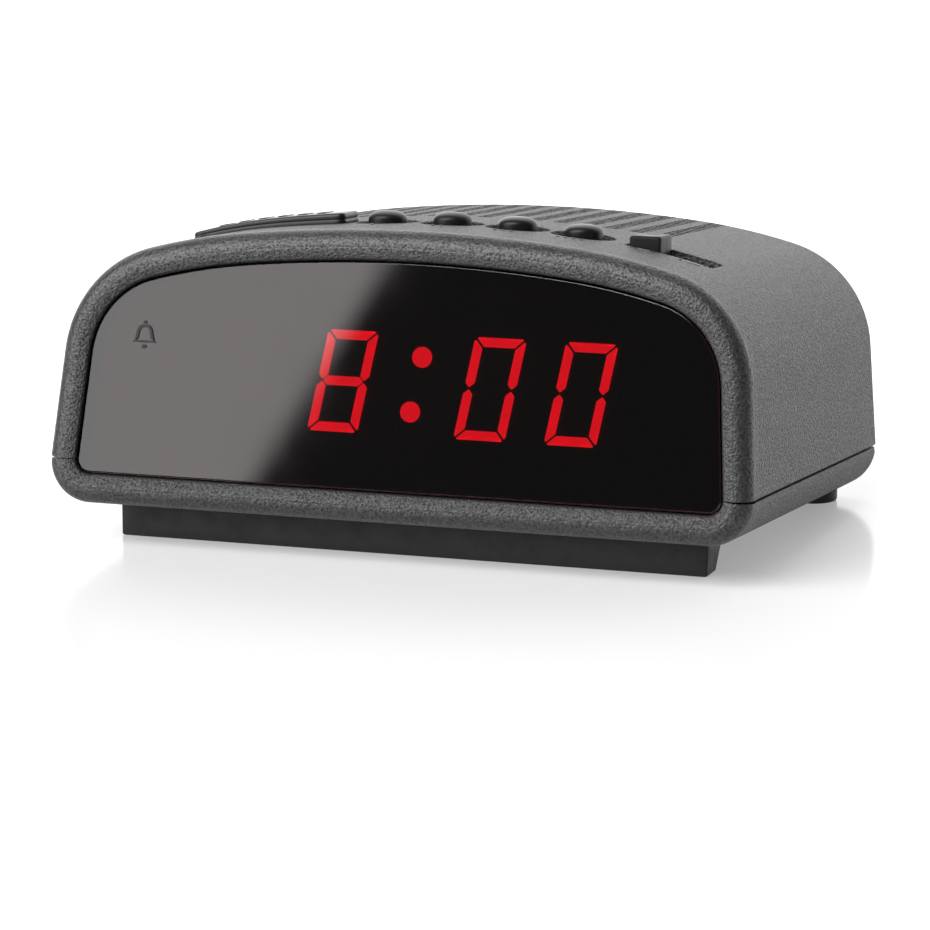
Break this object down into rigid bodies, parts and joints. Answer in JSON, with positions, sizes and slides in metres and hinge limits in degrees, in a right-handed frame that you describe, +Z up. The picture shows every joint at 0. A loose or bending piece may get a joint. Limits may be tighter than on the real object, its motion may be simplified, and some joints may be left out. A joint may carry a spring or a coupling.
{
  "type": "clock radio",
  "caption": "Mains bedside alarm clock with a red LED display behind a smoked window, a top row of buttons, a snooze bar, a slide switch and a slotted grille.",
  "frame": {"origin": "middle of the overall footprint, on the table surface", "axes": "+X to the clock's right as its display is read, +Y to its back, +Z up"},
  "size_m": [0.1114, 0.0762, 0.0496],
  "materials": {
    "charcoal_case_plastic": "fine moulded grain, satin charcoal",
    "smoked_window": "gloss smoked acrylic",
    "foot_plastic": "smooth satin black",
    "gland_rubber": "soft black",
    "control_black_plastic": "satin to gloss black",
    "white_plastic": "moulded white",
    "component_black": "moulded epoxy",
    "board_laminate": "paper laminate with copper tracks",
    "red_diffuser": "red translucent film",
    "plated_steel": "zinc plated",
    "magnet_ferrite": "dark ferrite",
    "speaker_paper": "pressed paper",
    "lamination_steel": "varnished laminations",
    "winding_tape": "yellow winding tape",
    "capacitor_sleeve": "shrink sleeve",
    "ribbon_insulation": "grey flat cable"
  },
  "bodies": {
    "case": {"alarm_tact_body": "component_black", "board_screw_1": "plated_steel", "board_screw_2": "plated_steel", "board_screw_3": "plated_steel", "board_screw_4": "plated_steel", "case_screw_1": "plated_steel", "case_screw_2": "plated_steel", "case_screw_3": "plated_steel", "case_screw_4": "plated_steel", "clock_chip": "component_black", "cord_gland": "gland_rubber", "display_board": "board_laminate", "display_film": "red_diffuser", "display_reflector": "white_plastic", "display_window": "smoked_window", "front_foot": "foot_plastic", "hour_tact_body": "component_black", "lower_housing": "charcoal_case_plastic", "main_board": "board_laminate", "minute_tact_body": "component_black", "rear_foot_left": "foot_plastic", "rear_foot_right": "foot_plastic", "rectifier_bridge": "component_black", "ribbon_cable": "ribbon_insulation", "smoothing_capacitor": "capacitor_sleeve", "snooze_tact_body": "component_black", "speaker_cone": "speaker_paper", "speaker_frame": "plated_steel", "speaker_magnet": "magnet_ferrite", "strap_screw_1": "plated_steel", "strap_screw_2": "plated_steel", "switch_body": "plated_steel", "time_tact_body": "component_black", "transformer_core": "lamination_steel", "transformer_strap": "plated_steel", "transformer_winding": "winding_tape", "upper_housing": "charcoal_case_plastic"},
    "snooze_bar": {"snooze_bar": "control_black_plastic"},
    "snooze_switch_stem": {"snooze_tact_stem": "white_plastic"},
    "alarm_switch": {"switch_knob": "control_black_plastic", "switch_lever": "white_plastic"},
    "time_button": {"time_button": "control_black_plastic"},
    "time_switch_stem": {"time_tact_stem": "white_plastic"},
    "alarm_button": {"alarm_button": "control_black_plastic"},
    "alarm_switch_stem": {"alarm_tact_stem": "white_plastic"},
    "hour_button": {"hour_button": "control_black_plastic"},
    "hour_switch_stem": {"hour_tact_stem": "white_plastic"},
    "minute_button": {"minute_button": "control_black_plastic"},
    "minute_switch_stem": {"minute_tact_stem": "white_plastic"}
  },
  "joints": [
    {"name": "snooze_press", "type": "slide", "parent": "case", "child": "snooze_bar", "axis": [0, -0.0649, -0.9979], "range_m": [0, 0.0008], "stiffness_N_per_m": 800, "springref_m": -0.0008},
    {"name": "snooze_stem_press", "type": "slide", "parent": "case", "child": "snooze_switch_stem", "axis": [0, -0.0649, -0.9979], "range_m": [0, 0.0008]},
    {"name": "time_press", "type": "slide", "parent": "case", "child": "time_button", "axis": [0, -0.0649, -0.9979], "range_m": [0, 0.0008], "stiffness_N_per_m": 800, "springref_m": -0.0008},
    {"name": "time_stem_press", "type": "slide", "parent": "case", "child": "time_switch_stem", "axis": [0, -0.0649, -0.9979], "range_m": [0, 0.0008]},
    {"name": "alarm_press", "type": "slide", "parent": "case", "child": "alarm_button", "axis": [0, -0.0649, -0.9979], "range_m": [0, 0.0008], "stiffness_N_per_m": 800, "springref_m": -0.0008},
    {"name": "alarm_stem_press", "type": "slide", "parent": "case", "child": "alarm_switch_stem", "axis": [0, -0.0649, -0.9979], "range_m": [0, 0.0008]},
    {"name": "hour_press", "type": "slide", "parent": "case", "child": "hour_button", "axis": [0, -0.0649, -0.9979], "range_m": [0, 0.0008], "stiffness_N_per_m": 800, "springref_m": -0.0008},
    {"name": "hour_stem_press", "type": "slide", "parent": "case", "child": "hour_switch_stem", "axis": [0, -0.0649, -0.9979], "range_m": [0, 0.0008]},
    {"name": "minute_press", "type": "slide", "parent": "case", "child": "minute_button", "axis": [0, -0.0649, -0.9979], "range_m": [0, 0.0008], "stiffness_N_per_m": 800, "springref_m": -0.0008},
    {"name": "minute_stem_press", "type": "slide", "parent": "case", "child": "minute_switch_stem", "axis": [0, -0.0649, -0.9979], "range_m": [0, 0.0008]},
    {"name": "alarm_switch_slide", "type": "slide", "parent": "case", "child": "alarm_switch", "axis": [1, 0, 0], "range_m": [0, 0.0055]}
  ],
  "couplings": [
    {"joint": "snooze_stem_press", "follows": "snooze_press", "ratio": 1},
    {"joint": "time_stem_press", "follows": "time_press", "ratio": 1},
    {"joint": "alarm_stem_press", "follows": "alarm_press", "ratio": 1},
    {"joint": "hour_stem_press", "follows": "hour_press", "ratio": 1},
    {"joint": "minute_stem_press", "follows": "minute_press", "ratio": 1}
  ]
}
